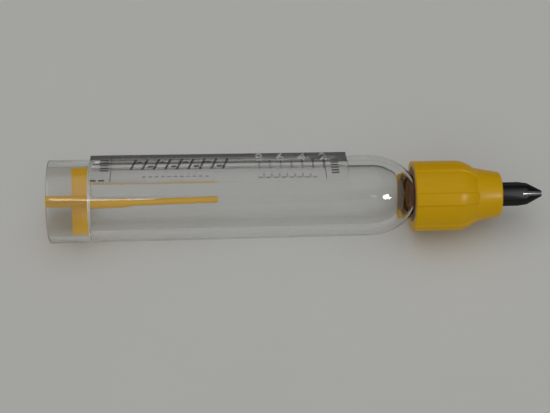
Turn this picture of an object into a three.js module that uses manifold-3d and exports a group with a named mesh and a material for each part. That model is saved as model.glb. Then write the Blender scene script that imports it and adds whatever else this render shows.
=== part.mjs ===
// Fuel sampler cup, built as a THREE.Group of named solids.
// A clear domed tube catches the fuel; a pull-out probe in its mouth opens the drain valve;
// a flat land moulded along the tube carries the volume scale; a ribbed grip is bonded to the
// closed end and holds a reversible screwdriver bit.
// Millimetres, +Z up. The cup lies on its side along X, with its mouth towards -X.
import * as THREE from "three";
import { mergeVertices } from "three/addons/utils/BufferGeometryUtils.js";
import Module from "manifold-3d";

const wasm = await Module();
wasm.setup();

// ---------------------------------------------------------------- driving dimensions
// Clear cup
const MOUTH_DIAMETER = 25.0;
const TUBE_LENGTH = 95.8; // mouth to the start of the dome
const TUBE_DRAFT = 0.35; // how much the radius shrinks from the mouth to the dome
const DOME_HEIGHT = 15.1; // axial half-axis of the dome's ellipse
const MOUTH_WALL = 1.9;
const COUNTERBORE_DEPTH = 12.4;
const TUBE_WALL = 3.4; // below the counterbore
const BORE_DOME_HEIGHT = 10.8;
const POCKET_FLOOR = 0.9; // clear plastic between the bore and the pocket behind it
const SPIGOT_WALL = 1.0; // round the pocket, which takes the adhesive plug and the bit's inner end
const SPIGOT_DEPTH = 9.6; // how far the spigot reaches into the grip
const LIP_CHAMFER = 0.3;

// Scale land: a flat face moulded along the tube from the end of the counterbore nearly to the
// dome, with sloping sides that stand proud of the round of the tube
const LAND_END_MARGIN = 6.7; // from the land's end to the start of the dome
const LAND_FACE_WIDTH = 15.0;
const LAND_CUT = 1.15; // how far the flat face lies below the round of the tube
const LAND_DRAFT = 0.4; // how much the face sinks towards the dome
const LAND_SPREAD = 94; // degrees round the tube, foot to foot
const RELIEF_HEIGHT = 0.2;

// Rows of raised marks on the land. A span holds the places of the first and the last mark, as
// shares of the land's length from its mouth end; across is from the middle of its face.
const TICKS = { count: 7, span: [0.656, 0.907], across: 1.5, size: [0.4, 4.5] };
const TITLE_BLOCKS = { count: 8, span: [0.165, 0.52], across: 2.3, size: [1.6, 5.2], skew: -14 };
const LOWER_DASHES = { count: 9, span: [0.21, 0.46], across: -4.1, size: [1.5, 0.5] };
const END_LINES = { count: 2, span: [0.084, 0.911], across: 0.4, size: [0.3, 12] };

// Probe
const HUB_DIAMETER = 3.54;
const HUB_PROUD = 0.3; // the hub stands this far out of the mouth
const FIN_THICKNESS = 1.0;
const FIN_MARGIN = 0.45; // from the fins' ends to the end of the counterbore
const LONG_FIN_INSET = 0.1; // the long fins start this far inside the mouth
const SHORT_FIN_LENGTH = 4.8;
const PIN_DIAMETER = 2.75;
const PIN_STEP = 23.0; // from the mouth to the end of the thick stretch
const PIN_TAPER = 2.1;
const PIN_TIP_DIAMETER = 1.95;
const PIN_END = 50.5; // from the mouth
const PIN_OFFSET = 1.0; // the pin's root lies this far off the hub's axis
const PIN_LEAN = 1.0; // degrees, back towards the axis

// Grip
const GRIP_LENGTH = 26.75;
const GRIP_DIAMETER = 21.2;
const GRIP_STRAIGHT = 12.6; // parallel stretch from the rear face
const GRIP_SHOULDER = 6.2; // curved stretch after it
const GRIP_NOSE_START_DIAMETER = 16.5;
const GRIP_NOSE_END_DIAMETER = 13.7;
const GRIP_EDGE = 0.7; // rounding of the front edge
const GRIP_REAR_EDGE = 0.4;
const GRIP_DROP = 0.5; // the grip is glued on this far off the tube's axis, and the bit with it
const RIB_COUNT = 6;
const RIB_WIDTH = 3.7;
const RIB_HEIGHT = 0.36;

// Adhesive plug
const PLUG_LENGTH = 1.3;

// Screwdriver bit
const HEX_ACROSS_FLATS = 6.35;
const BIT_LENGTH = 39.0;
const BIT_EXPOSED = 13.1;
const CROSS_TAPER = 5.4;
const CROSS_TIP_DIAMETER = 2.2;
const CROSS_BLUNTNESS = 0.3;
const FLUTE_LENGTH = 9.0;
const FLUTE_ANGLE = 84; // degrees between the flute's walls
const FLUTE_DEPTH_AT_TIP = 0.72; // from the tip's edge towards the axis
const FLUTE_RISE = 24; // degrees, away from the axis behind the tip
const BLADE_LENGTH = 6.0;
const BLADE_THICKNESS = 1.1;
const BLADE_PARALLEL = 1.5; // stretch of the blade before its sides slope up

// Fits
const BOND_GAP = 0.3; // between pieces that are glued
const FIN_CLEARANCE = 0.3;
const HEX_CLEARANCE = 0.2;
const BIT_END_CLEARANCE = 0.3;
const POCKET_CLEARANCE = 1.034; // round the bit's corners in the pocket
const CUT_PAST = 1; // how far a cutting solid runs past the face that it opens

// Roll about the tube's axis, in degrees from the near side (-Y) up towards +Z
const LAND_ROLL = 108;
const PROBE_ROLL = 58; // the long fins
const RIB_ROLL = 48;
const HEX_ROLL = 25; // a corner of the hexagon
const FLUTE_ROLL = 55;
const DROP_ROLL = -35; // the way the grip is off the axis

const ROUND = 24; // facets of the large round shapes; a multiple of 4
const SMALL_ROUND = 20;
const CURVE_STEPS = 7;

// ---------------------------------------------------------------- sizes that follow
const mouthRadius = MOUTH_DIAMETER / 2;
const domeRadius = mouthRadius - TUBE_DRAFT;
const counterboreRadius = mouthRadius - MOUTH_WALL;
const hexCornerRadius = HEX_ACROSS_FLATS / Math.sqrt(3);
const pocketRadius = hexCornerRadius + POCKET_CLEARANCE;
const spigotRadius = pocketRadius + SPIGOT_WALL;
const counterboreInGrip = spigotRadius + BOND_GAP;
const gripRear = domeStationAt(counterboreInGrip - BOND_GAP);
const gripFront = gripRear + GRIP_LENGTH;
const spigotEnd = gripRear + SPIGOT_DEPTH;
const bitTip = gripFront + BIT_EXPOSED;
const bitInnerEnd = bitTip - BIT_LENGTH;
const plugEnd = bitInnerEnd - BIT_END_CLEARANCE;
const plugStart = plugEnd - PLUG_LENGTH;
const pocketEnd = plugStart - BOND_GAP;
const boreEnd = pocketEnd - POCKET_FLOOR;
const finEnd = COUNTERBORE_DEPTH - FIN_MARGIN;
const landStart = COUNTERBORE_DEPTH;
const landLength = TUBE_LENGTH - LAND_END_MARGIN - landStart;
const dropTo = [-GRIP_DROP * Math.cos(radians(DROP_ROLL)), GRIP_DROP * Math.sin(radians(DROP_ROLL))];
const landMiddle = landStart + landLength / 2;
const landFaceHeight = tubeRadiusAt(landMiddle) - LAND_CUT;

function radians(degrees) {
  return THREE.MathUtils.degToRad(degrees);
}

function tubeRadiusAt(station) {
  return mouthRadius - (TUBE_DRAFT * station) / TUBE_LENGTH;
}

function domeStationAt(radius) {
  const share = radius / domeRadius;
  return TUBE_LENGTH + DOME_HEIGHT * Math.sqrt(1 - share * share);
}

// ---------------------------------------------------------------- solids and booleans
function solidOf(geometry) {
  const bare = geometry.clone();
  bare.deleteAttribute("normal");
  bare.deleteAttribute("uv");
  const merged = mergeVertices(bare, 1e-4);
  return new wasm.Manifold(
    new wasm.Mesh({
      numProp: 3,
      vertProperties: merged.attributes.position.array,
      triVerts: new Uint32Array(merged.index.array),
    }),
  );
}

function geometryOf(solid) {
  const mesh = solid.getMesh();
  const geometry = new THREE.BufferGeometry();
  geometry.setAttribute("position", new THREE.BufferAttribute(mesh.vertProperties, 3));
  geometry.setIndex(new THREE.BufferAttribute(mesh.triVerts, 1));
  geometry.computeVertexNormals();
  return geometry;
}

const joined = (solids) => solids.reduce((whole, next) => whole.add(next));
const dropped = (solid) => solid.translate([0, ...dropTo]);

// A body of revolution about X. Each outline point is (station, radius); the outline runs
// along the outside towards +X. The flats of its facets lie at the true radius.
function turned(outline, facets = ROUND) {
  const grow = 1 / Math.cos(Math.PI / facets);
  const points = outline.map(([station, radius]) => new THREE.Vector2(radius * grow, station));
  const geometry = new THREE.LatheGeometry(points, facets, Math.PI / facets);
  geometry.rotateZ(-Math.PI / 2);
  return solidOf(geometry);
}

// A block whose middle lies straight out from the axis at a roll angle, given in degrees.
function block([along, across, deep], station, radius, roll) {
  const geometry = new THREE.BoxGeometry(along, across, deep);
  geometry.translate(station, 0, radius);
  geometry.rotateX(Math.PI / 2 - radians(roll));
  return solidOf(geometry);
}

// A flat outline drawn in the (across, deep) plane, pushed along X from one station on.
function pushed(shape, start, length, roll) {
  const geometry = new THREE.ExtrudeGeometry(shape, { depth: length, bevelEnabled: false });
  geometry.rotateY(Math.PI / 2);
  geometry.rotateX(Math.PI / 2);
  geometry.translate(start, 0, 0);
  geometry.rotateX(Math.PI / 2 - radians(roll));
  return solidOf(geometry);
}

function ellipsePoints(centre, halfLength, radius, fromAngle, toAngle) {
  const points = [];
  for (let step = 0; step <= CURVE_STEPS; step++) {
    const angle = THREE.MathUtils.lerp(fromAngle, toAngle, step / CURVE_STEPS);
    points.push([centre + halfLength * Math.sin(angle), radius * Math.cos(angle)]);
  }
  return points;
}

function hexagon(acrossFlats) {
  const corner = acrossFlats / Math.sqrt(3);
  const shape = new THREE.Shape();
  for (let side = 0; side < 6; side++) {
    const angle = (side * Math.PI) / 3 + Math.PI / 2;
    const point = [corner * Math.cos(angle), corner * Math.sin(angle)];
    if (side === 0) shape.moveTo(...point);
    else shape.lineTo(...point);
  }
  shape.closePath();
  return shape;
}

// ---------------------------------------------------------------- clear cup
function cupOutside() {
  const neckAngle = Math.acos(spigotRadius / domeRadius);
  return turned([
    [0, 0],
    [0, mouthRadius - LIP_CHAMFER],
    [LIP_CHAMFER, mouthRadius],
    ...ellipsePoints(TUBE_LENGTH, DOME_HEIGHT, domeRadius, 0, neckAngle),
    [spigotEnd, spigotRadius],
    [spigotEnd, 0],
  ]);
}

function cupBore() {
  const boreDomeStart = boreEnd - BORE_DOME_HEIGHT;
  const boreRadius = tubeRadiusAt(COUNTERBORE_DEPTH) - TUBE_WALL;
  const boreFarRadius = tubeRadiusAt(boreDomeStart) - TUBE_WALL;
  const boreDome = ellipsePoints(boreDomeStart, BORE_DOME_HEIGHT, boreFarRadius, 0, Math.PI / 2);
  boreDome[CURVE_STEPS][1] = 0;
  return turned([
    [-CUT_PAST, 0],
    [-CUT_PAST, counterboreRadius + LIP_CHAMFER + CUT_PAST],
    [LIP_CHAMFER, counterboreRadius],
    [COUNTERBORE_DEPTH, counterboreRadius],
    [COUNTERBORE_DEPTH, boreRadius],
    ...boreDome,
  ]);
}

function bitPocket() {
  return turned([
    [pocketEnd, 0],
    [pocketEnd, pocketRadius],
    [spigotEnd + CUT_PAST, pocketRadius],
    [spigotEnd + CUT_PAST, 0],
  ]);
}

// ---------------------------------------------------------------- scale land
// Turns a shape drawn over the land, with its face along X and Z outwards, into its place.
function overLand(geometry) {
  geometry.translate(-landMiddle, 0, 0);
  geometry.rotateY(Math.atan2(LAND_DRAFT, landLength));
  geometry.translate(landMiddle, 0, 0);
  geometry.rotateX(Math.PI / 2 - radians(LAND_ROLL));
  return solidOf(geometry);
}

function overLandOutline(points, length) {
  const shape = new THREE.Shape(points.map(([across, out]) => new THREE.Vector2(across, out)));
  const geometry = new THREE.ExtrudeGeometry(shape, { depth: length, bevelEnabled: false });
  geometry.rotateY(Math.PI / 2);
  geometry.rotateX(Math.PI / 2);
  geometry.translate(landMiddle - length / 2, 0, 0);
  return overLand(geometry);
}

function landBlock() {
  const half = LAND_FACE_WIDTH / 2;
  const footRadius = tubeRadiusAt(landMiddle);
  const spread = radians(LAND_SPREAD / 2);
  const foot = [footRadius * Math.sin(spread), footRadius * Math.cos(spread)];
  const outline = [
    [-half, landFaceHeight],
    [-foot[0], foot[1]],
    [foot[0], foot[1]],
    [half, landFaceHeight],
  ];
  return overLandOutline(outline, landLength);
}

function roundAboveLand() {
  const half = LAND_FACE_WIDTH / 2;
  const outline = [
    [-half, landFaceHeight],
    [half, landFaceHeight],
    [half, MOUTH_DIAMETER],
    [-half, MOUTH_DIAMETER],
  ];
  return overLandOutline(outline, landLength);
}

function markRow({ count, span, across, size, skew = 0 }) {
  const marks = [];
  for (let mark = 0; mark < count; mark++) {
    const share = THREE.MathUtils.lerp(span[0], span[1], mark / (count - 1));
    const geometry = new THREE.BoxGeometry(...size, RELIEF_HEIGHT * 2);
    geometry.rotateZ(radians(skew));
    geometry.translate(landStart + landLength * share, across, landFaceHeight);
    marks.push(overLand(geometry));
  }
  return marks;
}

function cupBody() {
  const marks = [TICKS, TITLE_BLOCKS, LOWER_DASHES, END_LINES].flatMap(markRow);
  const outside = cupOutside().subtract(roundAboveLand()).add(landBlock()).add(joined(marks));
  return outside.subtract(cupBore()).subtract(bitPocket());
}

// ---------------------------------------------------------------- probe
function probeFins(length, roll) {
  const reach = (counterboreRadius - FIN_CLEARANCE) * 2;
  return block([length, FIN_THICKNESS, reach], finEnd - length / 2, 0, roll);
}

function probePin() {
  const thick = PIN_DIAMETER / 2;
  const thin = PIN_TIP_DIAMETER / 2;
  const tipRound = thin / 2;
  const root = finEnd - FIN_THICKNESS;
  const geometry = new THREE.LatheGeometry(
    [
      [0, root],
      [thick, root],
      [thick, PIN_STEP],
      [thin, PIN_STEP + PIN_TAPER],
      [thin, PIN_END - tipRound],
      [thin - tipRound, PIN_END],
      [0, PIN_END],
    ].map(([radius, station]) => new THREE.Vector2(radius, station - root)),
    SMALL_ROUND,
  );
  geometry.rotateZ(-Math.PI / 2);
  geometry.rotateY(radians(-PIN_LEAN));
  geometry.translate(root, 0, -PIN_OFFSET);
  geometry.rotateX(-radians(PROBE_ROLL));
  return solidOf(geometry);
}

function probeInsert() {
  const hubRadius = HUB_DIAMETER / 2;
  const hub = turned(
    [
      [-HUB_PROUD, 0],
      [-HUB_PROUD, hubRadius - LIP_CHAMFER],
      [LIP_CHAMFER - HUB_PROUD, hubRadius],
      [finEnd, hubRadius],
      [finEnd, 0],
    ],
    SMALL_ROUND,
  );
  const longFins = probeFins(finEnd - LONG_FIN_INSET, PROBE_ROLL);
  const shortFins = probeFins(SHORT_FIN_LENGTH, PROBE_ROLL + 90);
  return joined([hub, longFins, shortFins, probePin()]);
}

// ---------------------------------------------------------------- grip
// The grip's outside from its rear face to the end of the shoulder, raised all over by a height.
function gripOutline(raise) {
  const bodyRadius = GRIP_DIAMETER / 2 + raise;
  const shoulderDrop = (GRIP_DIAMETER - GRIP_NOSE_START_DIAMETER) / 2;
  const points = [
    [gripRear, 0],
    [gripRear, bodyRadius - GRIP_REAR_EDGE],
    [gripRear + GRIP_REAR_EDGE, bodyRadius],
  ];
  for (let step = 0; step <= CURVE_STEPS; step++) {
    const share = step / CURVE_STEPS;
    const station = gripRear + GRIP_STRAIGHT + GRIP_SHOULDER * share;
    points.push([station, bodyRadius - shoulderDrop * share * share]);
  }
  return points;
}

function gripCore() {
  const noseRadius = GRIP_NOSE_END_DIAMETER / 2;
  return turned([
    ...gripOutline(0),
    [gripFront - GRIP_EDGE, noseRadius],
    [gripFront, noseRadius - GRIP_EDGE],
    [gripFront, 0],
  ]);
}

function gripRibs() {
  const ribEnd = gripRear + GRIP_STRAIGHT + GRIP_SHOULDER + RIB_HEIGHT;
  const flushRadius = GRIP_NOSE_START_DIAMETER / 2 - RIB_HEIGHT;
  const sleeve = turned([...gripOutline(RIB_HEIGHT), [ribEnd, flushRadius], [ribEnd, 0]]);
  const length = ribEnd - gripRear;
  const ribs = [];
  for (let rib = 0; rib < RIB_COUNT; rib++) {
    const roll = RIB_ROLL + (360 * rib) / RIB_COUNT;
    const size = [length, RIB_WIDTH, GRIP_DIAMETER];
    ribs.push(block(size, gripRear + length / 2, GRIP_DIAMETER / 2, roll));
  }
  return sleeve.intersect(joined(ribs));
}

function grip() {
  const spigotHole = turned([
    [gripRear - CUT_PAST, 0],
    [gripRear - CUT_PAST, counterboreInGrip],
    [spigotEnd + BOND_GAP, counterboreInGrip],
    [spigotEnd + BOND_GAP, 0],
  ]);
  const socket = pushed(hexagon(HEX_ACROSS_FLATS + HEX_CLEARANCE * 2), spigotEnd, GRIP_LENGTH, HEX_ROLL);
  return dropped(gripCore().add(gripRibs()).subtract(socket)).subtract(spigotHole);
}

function adhesivePlug() {
  const radius = pocketRadius - BOND_GAP;
  return turned([
    [plugStart, 0],
    [plugStart, radius],
    [plugEnd, radius],
    [plugEnd, 0],
  ]);
}

// ---------------------------------------------------------------- screwdriver bit
// A triangular cutter along X, its edge down, that sinks towards the tip at one side of the bit.
function flute(roll) {
  const height = HEX_ACROSS_FLATS;
  const half = height * Math.tan(radians(FLUTE_ANGLE / 2));
  const shape = new THREE.Shape();
  shape.moveTo(0, 0);
  shape.lineTo(half, height);
  shape.lineTo(-half, height);
  shape.closePath();
  const geometry = new THREE.ExtrudeGeometry(shape, { depth: FLUTE_LENGTH * 2, bevelEnabled: false });
  geometry.rotateY(Math.PI / 2);
  geometry.rotateX(Math.PI / 2);
  geometry.translate(-FLUTE_LENGTH, 0, 0);
  geometry.rotateY(radians(FLUTE_RISE));
  geometry.translate(bitTip, 0, CROSS_TIP_DIAMETER / 2 - FLUTE_DEPTH_AT_TIP);
  geometry.rotateX(Math.PI / 2 - radians(roll));
  return solidOf(geometry);
}

// The wedge cut away on one side of the flat blade at the bit's inner end.
function bladeRelief(side) {
  const shape = new THREE.Shape();
  shape.moveTo(-CUT_PAST, BLADE_THICKNESS / 2);
  shape.lineTo(BLADE_PARALLEL, BLADE_THICKNESS / 2);
  shape.lineTo(BLADE_LENGTH, HEX_ACROSS_FLATS);
  shape.lineTo(-CUT_PAST, HEX_ACROSS_FLATS);
  shape.closePath();
  const width = HEX_ACROSS_FLATS * 2;
  const geometry = new THREE.ExtrudeGeometry(shape, { depth: width, bevelEnabled: false });
  geometry.translate(bitInnerEnd, 0, -width / 2);
  geometry.rotateX(Math.PI / 2);
  if (side < 0) geometry.rotateX(Math.PI);
  geometry.rotateX(Math.PI / 2 - radians(HEX_ROLL));
  return solidOf(geometry);
}

function driverBit() {
  const tipRadius = CROSS_TIP_DIAMETER / 2;
  const envelope = turned([
    [bitInnerEnd, 0],
    [bitInnerEnd, hexCornerRadius],
    [bitTip - CROSS_TAPER, hexCornerRadius],
    [bitTip - CROSS_BLUNTNESS, tipRadius],
    [bitTip, tipRadius - CROSS_BLUNTNESS],
    [bitTip, 0],
  ]);
  const blank = pushed(hexagon(HEX_ACROSS_FLATS), bitInnerEnd, BIT_LENGTH, HEX_ROLL);
  const cutters = [0, 90, 180, 270].map((turn) => flute(FLUTE_ROLL + turn));
  cutters.push(bladeRelief(1), bladeRelief(-1));
  return dropped(cutters.reduce((bit, cutter) => bit.subtract(cutter), blank.intersect(envelope)));
}

// ---------------------------------------------------------------- materials and assembly
function plastic(color, roughness, opacity = 1) {
  return new THREE.MeshStandardMaterial({
    color,
    roughness,
    metalness: 0,
    opacity,
    transparent: opacity < 1,
  });
}

const clearPlastic = plastic(0xdfe3e2, 0.08, 0.35);
const yellowPlastic = plastic(0xd9a406, 0.42);
const curedAdhesive = plastic(0x9a5a22, 0.25, 0.8);
const blackSteel = new THREE.MeshStandardMaterial({ color: 0x1d1e22, roughness: 0.38, metalness: 0.9 });

function piece(name, solid, material) {
  const mesh = new THREE.Mesh(geometryOf(solid), material);
  mesh.name = name;
  return mesh;
}

const sampler = new THREE.Group();
sampler.add(
  piece("cup_body", cupBody(), clearPlastic),
  piece("probe_insert", probeInsert(), yellowPlastic),
  piece("grip", grip(), yellowPlastic),
  piece("adhesive_plug", adhesivePlug(), curedAdhesive),
  piece("driver_bit", driverBit(), blackSteel),
);
sampler.position.set(-(bitTip - HUB_PROUD) / 2, 0, mouthRadius);

export default sampler;
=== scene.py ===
import math

import bmesh
import bpy
from mathutils import Matrix, Vector


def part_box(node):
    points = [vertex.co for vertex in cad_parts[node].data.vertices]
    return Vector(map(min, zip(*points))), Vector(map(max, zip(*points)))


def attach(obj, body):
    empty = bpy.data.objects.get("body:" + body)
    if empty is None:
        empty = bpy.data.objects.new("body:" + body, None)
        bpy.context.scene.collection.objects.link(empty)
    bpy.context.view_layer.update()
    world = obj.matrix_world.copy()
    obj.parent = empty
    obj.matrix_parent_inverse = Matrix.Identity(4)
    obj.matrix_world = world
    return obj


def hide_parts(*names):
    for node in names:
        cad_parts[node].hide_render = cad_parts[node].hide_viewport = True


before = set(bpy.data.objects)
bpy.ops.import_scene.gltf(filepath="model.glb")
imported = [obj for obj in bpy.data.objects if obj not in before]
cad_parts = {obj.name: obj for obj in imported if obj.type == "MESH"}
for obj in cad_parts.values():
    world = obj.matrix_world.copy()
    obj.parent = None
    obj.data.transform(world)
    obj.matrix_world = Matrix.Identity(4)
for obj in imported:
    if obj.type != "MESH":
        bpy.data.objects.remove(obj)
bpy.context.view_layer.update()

# Fuel sampler cup: a clear domed tube with a scale land, a yellow drain probe in its mouth,
# a ribbed yellow grip glued to the closed end, and a black reversible screwdriver bit.
# Lengths are in millimetres until to_frame() turns them into the frame's metres. A station is
# a distance from the mouth along the tube. A roll is an angle round the tube's axis, in degrees
# from the near side (-Y) up towards +Z.
MM = 0.001

# ---------------------------------------------------------------- sizes
MOUTH_RADIUS = 12.5
MOUTH_WALL = 1.9
TUBE_LENGTH = 95.8
TUBE_DRAFT = 0.35
DOME_HEIGHT = 15.1
COUNTERBORE_DEPTH = 12.4
TUBE_WALL = 3.4
BORE_DOME_HEIGHT = 10.8
SPIGOT_RADIUS = 5.7
POCKET_RADIUS = 4.7
POCKET_FLOOR = 0.9
LIP_ROUNDING = 0.3
BOND_GAP = 0.3  # between the cup and the adhesive
BORE_RIPPLE = 0.035  # height of the faint rings in the bore's domed end
BORE_RIPPLE_PITCH = 4.2  # of their sine, in radians for each millimetre of radius
BORE_RIPPLE_INNER = 5.2
BORE_RIPPLE_OUTER = 8.2
BORE_RIPPLE_FADE = 0.8

LAND_START = COUNTERBORE_DEPTH
LAND_LENGTH = TUBE_LENGTH - 6.7 - LAND_START
LAND_FACE_WIDTH = 15.0
LAND_CUT = 1.15
LAND_DRAFT = 0.4
LAND_SPREAD = 94
LAND_ROLL = 108
RELIEF_HEIGHT = 0.2

HUB_RADIUS = 1.77
HUB_PROUD = 0.3
FIN_THICKNESS = 1.0
FIN_END = 11.95
FIN_REACH = 10.3
LONG_FIN_LENGTH = 11.85
SHORT_FIN_LENGTH = 4.8
PIN_RADIUS = 1.375
PIN_STEP = 23.0
PIN_TAPER = 2.1
PIN_TIP_RADIUS = 0.975
PIN_END = 50.5
PIN_OFFSET = 1.0
PIN_LEAN = 1.0
PROBE_ROLL = 58

GRIP_RADIUS = 10.6
GRIP_STRAIGHT = 12.6
GRIP_SHOULDER = 6.2
GRIP_NOSE_START_RADIUS = 8.25
GRIP_NOSE_END_RADIUS = 6.85
GRIP_EDGE = 0.7
GRIP_REAR_EDGE = 0.4
GRIP_HOLE_RADIUS = 6.0
GRIP_DROP = 0.5  # the grip, and the bit with it, sit this far off the tube's axis
DROP_ROLL = -35
RIB_COUNT = 6
RIB_WIDTH = 3.7
RIB_HEIGHT = 0.36
RIB_ROLL = 48

HEX_ACROSS_FLATS = 6.35
SOCKET_ACROSS_FLATS = 6.5
CROSS_TAPER = 5.4
CROSS_TIP_RADIUS = 1.1
FLUTE_LENGTH = 9.0
FLUTE_ANGLE = 84
FLUTE_DEPTH_AT_TIP = 0.72
FLUTE_RISE = 24
BLADE_LENGTH = 6.0
BLADE_PARALLEL = 1.5
BLADE_THICKNESS = 1.1
HEX_ROLL = 25
FLUTE_ROLL = 55

ROUND_COLUMNS = 240
GRIP_COLUMNS = 360
CURVE_STEPS = 36

# ---------------------------------------------------------------- places, from the frame
cup_low, cup_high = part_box("cup_body")
grip_low, grip_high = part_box("grip")
bit_low, bit_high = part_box("driver_bit")
plug_low, plug_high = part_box("adhesive_plug")
mouth_x = cup_low.x
axis_z = MOUTH_RADIUS * MM


def station_of(x):
    return (x - mouth_x) / MM


grip_rear = station_of(grip_low.x)
grip_front = station_of(grip_high.x)
bit_inner_end = station_of(bit_low.x)
bit_tip = station_of(bit_high.x)
plug_start = station_of(plug_low.x)
plug_end = station_of(plug_high.x)
spigot_end = station_of(cup_high.x)
pocket_end = plug_start - BOND_GAP
bore_end = pocket_end - POCKET_FLOOR
dome_radius = MOUTH_RADIUS - TUBE_DRAFT
land_middle = LAND_START + LAND_LENGTH / 2
to_frame_matrix = Matrix.Translation((mouth_x, 0, axis_z)) @ Matrix.Scale(MM, 4)


def tube_radius(station):
    return MOUTH_RADIUS - TUBE_DRAFT * station / TUBE_LENGTH


# ---------------------------------------------------------------- mesh helpers
def outwards(roll):
    """The unit direction away from the axis at a roll, as (y, z)."""
    angle = math.radians(roll)
    return -math.cos(angle), math.sin(angle)


def ring(station, radius, columns):
    """Points of a circle round the axis; a radius of nothing gives its one middle point."""
    if radius == 0:
        return [(station, 0, 0)]
    directions = [outwards(360 * column / columns) for column in range(columns)]
    return [(station, radius * y, radius * z) for y, z in directions]


def ellipse_points(centre, half_length, radius, start, end):
    """(station, radius) points of an elliptical dome, from one angle to another."""
    points = []
    for step in range(CURVE_STEPS + 1):
        angle = start + (end - start) * step / CURVE_STEPS
        points.append((centre + half_length * math.sin(angle), radius * math.cos(angle)))
    return points


def corner_points(centre, radius, start, end, steps=5):
    """(station, radius) points of a rounded corner, with its angles in degrees from +X."""
    angles = [math.radians(start + (end - start) * step / steps) for step in range(steps + 1)]
    return [(centre[0] + radius * math.cos(a), centre[1] + radius * math.sin(a)) for a in angles]


def mesh_from(edit, name):
    bmesh.ops.remove_doubles(edit, verts=edit.verts, dist=1e-5)
    bmesh.ops.recalc_face_normals(edit, faces=edit.faces)
    mesh = bpy.data.meshes.new(name)
    edit.to_mesh(mesh)
    edit.free()
    return mesh


def skin(name, rings, looped=False):
    """A closed surface through rings; a ring of one point closes an end."""
    edit = bmesh.new()
    rows = [[edit.verts.new(point) for point in points] for points in rings]
    pairs = list(zip(rows, rows[1:]))
    if looped:
        pairs.append((rows[-1], rows[0]))
    for near, far in pairs:
        width = max(len(near), len(far))
        for column in range(width):
            after = (column + 1) % width
            corners = [near[column % len(near)], near[after % len(near)]]
            corners += [far[after % len(far)], far[column % len(far)]]
            edit.faces.new(list(dict.fromkeys(corners)))
    return mesh_from(edit, name)


def turned(name, outline, columns=ROUND_COLUMNS, looped=False):
    """A body of revolution about the tube's axis from (station, radius) points."""
    return skin(name, [ring(station, radius, columns) for station, radius in outline], looped)


def prism(name, outline, start, length):
    """A flat outline of (across, out) points pushed along the axis; at roll 90 out is up."""
    rings = [[(station, across, out) for across, out in outline] for station in (start, start + length)]
    edit = bmesh.new()
    near, far = [[edit.verts.new(point) for point in points] for points in rings]
    edit.faces.new(near)
    edit.faces.new(far)
    for side in range(len(near)):
        after = (side + 1) % len(near)
        edit.faces.new((near[side], near[after], far[after], far[side]))
    return mesh_from(edit, name)


def block(name, size, centre):
    along, across, deep = size
    half = across / 2
    outline = [(-half, -deep / 2), (half, -deep / 2), (half, deep / 2), (-half, deep / 2)]
    made = prism(name, outline, -along / 2, along)
    made.transform(Matrix.Translation(centre))
    return made


def rolled(mesh, roll):
    """Turns what was drawn at roll 90, straight up, to another roll."""
    mesh.transform(Matrix.Rotation(math.radians(90 - roll), 4, "X"))
    return mesh


def dropped(mesh):
    """Moves a mesh the way the grip was glued on, a little off the tube's axis."""
    y, z = outwards(DROP_ROLL)
    mesh.transform(Matrix.Translation((0, GRIP_DROP * y, GRIP_DROP * z)))
    return mesh


def rounded(mesh, width, segments=2, angle=25):
    """Rounds the sharp edges of a mesh."""
    edit = bmesh.new()
    edit.from_mesh(mesh)
    sharp = [e for e in edit.edges if e.is_manifold and e.calc_face_angle() > math.radians(angle)]
    bmesh.ops.bevel(
        edit,
        geom=sharp,
        offset=width,
        segments=segments,
        profile=0.5,
        affect="EDGES",
        clamp_overlap=True,
    )
    edit.to_mesh(mesh)
    edit.free()
    return mesh


def placed(mesh, name):
    """An object at the origin that shows a mesh, linked to the scene."""
    made = bpy.data.objects.new(name, mesh)
    bpy.context.scene.collection.objects.link(made)
    return made


def plain_mesh(made):
    """The evaluated mesh of an object, its modifiers applied."""
    graph = bpy.context.evaluated_depsgraph_get()
    return bpy.data.meshes.new_from_object(made.evaluated_get(graph), depsgraph=graph)


def carved(mesh, operation, *others):
    """A mesh united with, cut by or kept inside others."""
    base = placed(mesh, "blank")
    tools = [placed(other, "tool") for other in others]
    for tool in tools:
        cut = base.modifiers.new("cut", "BOOLEAN")
        cut.operation = operation
        cut.solver = "EXACT"
        cut.material_mode = "TRANSFER"
        cut.object = tool
    bpy.context.view_layer.update()
    made = plain_mesh(base)
    for done in [base, *tools]:
        bpy.data.objects.remove(done)
    return made


def finished(mesh, name, body, material, nodes, smooth_angle=30):
    """Puts a finished mesh in the frame as a piece on a body, in place of CAD nodes."""
    mesh.transform(to_frame_matrix)
    mesh.name = name
    mesh.polygons.foreach_set("use_smooth", [True] * len(mesh.polygons))
    mesh.set_sharp_from_angle(angle=math.radians(smooth_angle))
    if material not in mesh.materials[:]:
        mesh.materials.clear()
        mesh.materials.append(material)
    made = placed(mesh, name)
    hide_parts(*nodes)
    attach(made, body)
    return made


# ---------------------------------------------------------------- node helpers
def new_group(name, kind, inputs, outputs):
    """A node group with named sockets; an input is (name, socket type, default)."""
    tree = bpy.data.node_groups.new(name, kind)
    for label, socket_type, default in inputs:
        socket = tree.interface.new_socket(label, in_out="INPUT", socket_type=socket_type)
        if default is not None:
            socket.default_value = default
    for label, socket_type in outputs:
        tree.interface.new_socket(label, in_out="OUTPUT", socket_type=socket_type)
    return tree


def add_node(tree, kind, settings=None, values=None):
    """Adds a node with its settings, and input values by socket name or number."""
    made = tree.nodes.new(kind)
    for key, value in (settings or {}).items():
        setattr(made, key, value)
    for key, value in (values or {}).items():
        made.inputs[key].default_value = value
    return made


def set_input(modifier, label, value):
    """Sets a Geometry Nodes modifier's input by the identifier of the socket so named."""
    for item in modifier.node_group.interface.items_tree:
        if item.item_type == "SOCKET" and item.in_out == "INPUT" and item.name == label:
            modifier[item.identifier] = value


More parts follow.
